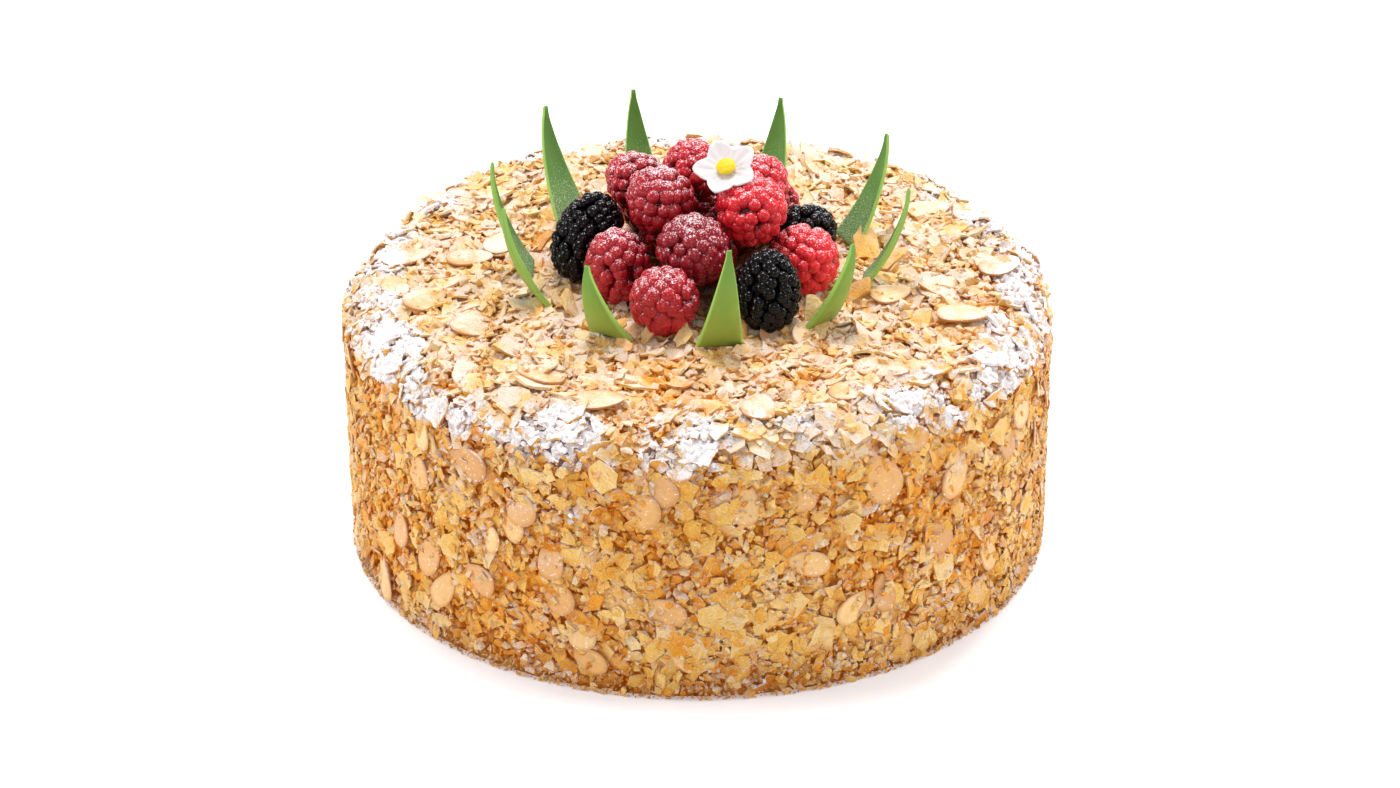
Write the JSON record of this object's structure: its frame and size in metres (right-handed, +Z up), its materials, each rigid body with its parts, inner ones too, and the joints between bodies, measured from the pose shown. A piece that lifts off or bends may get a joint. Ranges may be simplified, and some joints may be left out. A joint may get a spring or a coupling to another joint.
{
  "type": "napoleon cake",
  "caption": "Round uncut napoleon cake coated in pastry flakes and almond slices, with a heap of raspberries and dark berries in a ring of sugar-paste leaves and a sugar flower.",
  "frame": {"origin": "middle of the cake's flat underside, on the surface it stands on", "axes": "+Z up through the middle of the cake; -Y towards the front, the side that the picture shows; +X to the right seen from the front"},
  "size_m": [0.2121, 0.2132, 0.1243],
  "materials": {
    "crust": "dry golden pastry flakes and almond slices, dusted with icing sugar",
    "raspberry": "juicy crimson drupelets, softly glossy, lightly dusted with icing sugar",
    "bramble": "near-black glossy drupelets",
    "leaf": "matte green sugar paste with sugar dust on the inner face",
    "sugar": "matte white sugar paste and icing sugar",
    "eye": "matte yellow sugar paste"
  },
  "bodies": {
    "root": {"bramble_front": "bramble", "bramble_left": "bramble", "bramble_right": "bramble", "cake": "crust", "flower_eye": "eye", "flower_petals": "sugar", "leaf_back": "leaf", "leaf_back_left": "leaf", "leaf_back_middle": "leaf", "leaf_back_right": "leaf", "leaf_front": "leaf", "leaf_front_left": "leaf", "leaf_front_middle": "leaf", "leaf_front_right": "leaf", "leaf_left": "leaf", "leaf_right": "leaf", "raspberry_back": "raspberry", "raspberry_back_left": "raspberry", "raspberry_back_right": "raspberry", "raspberry_front": "raspberry", "raspberry_inner_left": "raspberry", "raspberry_inner_right": "raspberry", "raspberry_left": "raspberry", "raspberry_middle": "raspberry", "raspberry_right": "raspberry", "raspberry_small": "raspberry", "raspberry_top": "raspberry", "raspberry_top_left": "raspberry", "raspberry_top_right": "raspberry", "raspberry_upper_front": "raspberry", "raspberry_upper_left": "raspberry", "raspberry_upper_right": "raspberry"}
  },
  "joints": []
}
